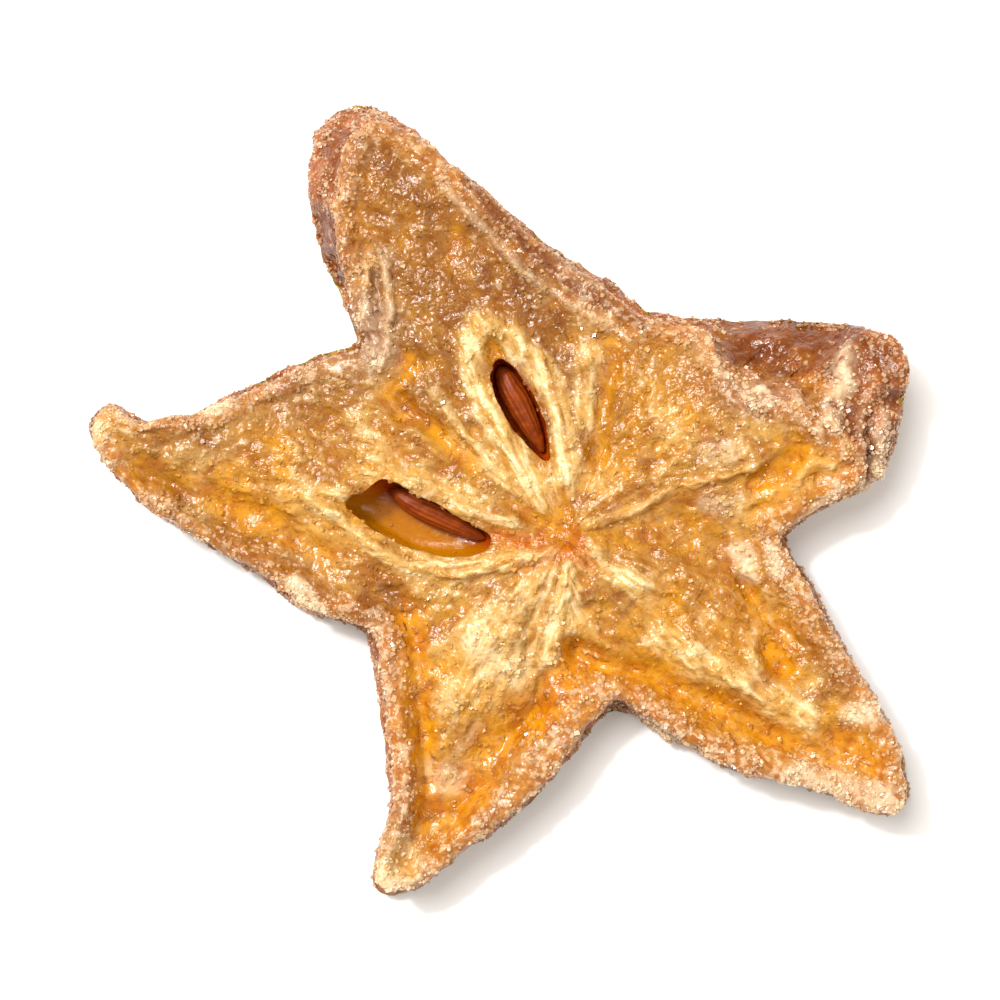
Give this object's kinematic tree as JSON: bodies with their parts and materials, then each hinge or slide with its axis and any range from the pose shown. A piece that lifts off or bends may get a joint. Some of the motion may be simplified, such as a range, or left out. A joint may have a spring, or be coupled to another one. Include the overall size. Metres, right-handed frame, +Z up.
{
  "type": "dried star fruit slice",
  "caption": "Cross-cut slice of dried star fruit with irregular arms, raised skin rims, a turned-up tip and open seed cells that hold seeds.",
  "frame": {"origin": "on the resting plane, straight below the core where the arms meet", "axes": "+Z up out of the cut face, +Y towards the upper arm with the lens-shaped seed cell, +X to the right, towards the arm with the turned-up tip"},
  "size_m": [0.0563, 0.0544, 0.0076],
  "materials": {
    "dried_flesh": "amber and tan dried fruit flesh, leathery and slightly translucent, with a crust of sugar grains",
    "seed_coat": "dark red-brown dried seed coat, dull to satin, finely grooved lengthwise"
  },
  "bodies": {
    "root": {"fruit_slice": "dried_flesh", "seed_upper": "seed_coat", "seed_left": "seed_coat"}
  },
  "joints": []
}
